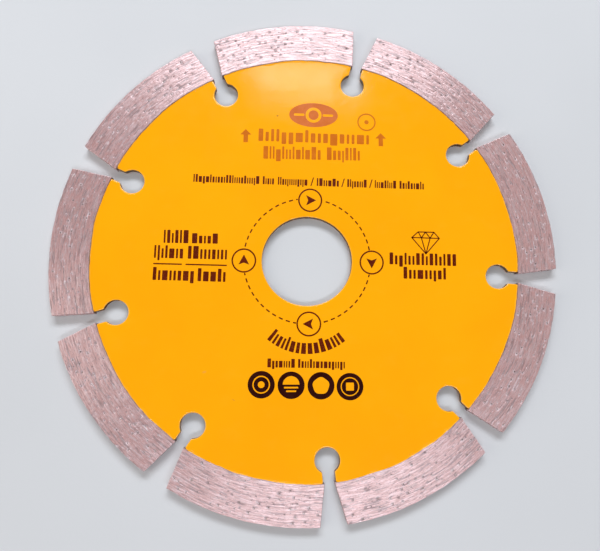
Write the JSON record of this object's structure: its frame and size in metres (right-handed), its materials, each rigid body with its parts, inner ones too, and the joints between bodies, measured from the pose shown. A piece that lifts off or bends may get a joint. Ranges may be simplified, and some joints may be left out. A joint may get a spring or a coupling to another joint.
{
  "type": "diamond blade",
  "caption": "Segmented dry-cutting diamond blade: flat slotted steel disc with a plain arbor hole, enamelled faces and sintered diamond segments round its rim, for masonry and concrete.",
  "frame": {"origin": "centre of the bore, on the mid-plane of the steel core", "axes": "+Z along the spin axis, out of the printed front face; +Y is up in the print; +X is to the print's right. Seen from +Z, the blade is made to turn clockwise."},
  "size_m": [0.1251, 0.125, 0.0024],
  "materials": {
    "core_steel": "stamped and hardened sheet steel, bare and slightly browned at the bore and slot walls",
    "enamel": "glossy warm yellow stoving enamel",
    "sintered_matrix": "pinkish silver sintered metal bond, dressed round the blade in fine tangential grooves",
    "diamond": "saw-grade synthetic diamond crystals, yellowish grey"
  },
  "bodies": {
    "root": {"steel_core": "core_steel", "front_enamel": "enamel", "back_enamel": "enamel", "segment_1": "sintered_matrix", "segment_2": "sintered_matrix", "segment_3": "sintered_matrix", "segment_4": "sintered_matrix", "segment_5": "sintered_matrix", "segment_6": "sintered_matrix", "segment_7": "sintered_matrix", "segment_8": "sintered_matrix", "segment_9": "sintered_matrix", "diamond_grit_1": "diamond", "diamond_grit_2": "diamond", "diamond_grit_3": "diamond", "diamond_grit_4": "diamond", "diamond_grit_5": "diamond", "diamond_grit_6": "diamond", "diamond_grit_7": "diamond", "diamond_grit_8": "diamond", "diamond_grit_9": "diamond"}
  },
  "joints": []
}
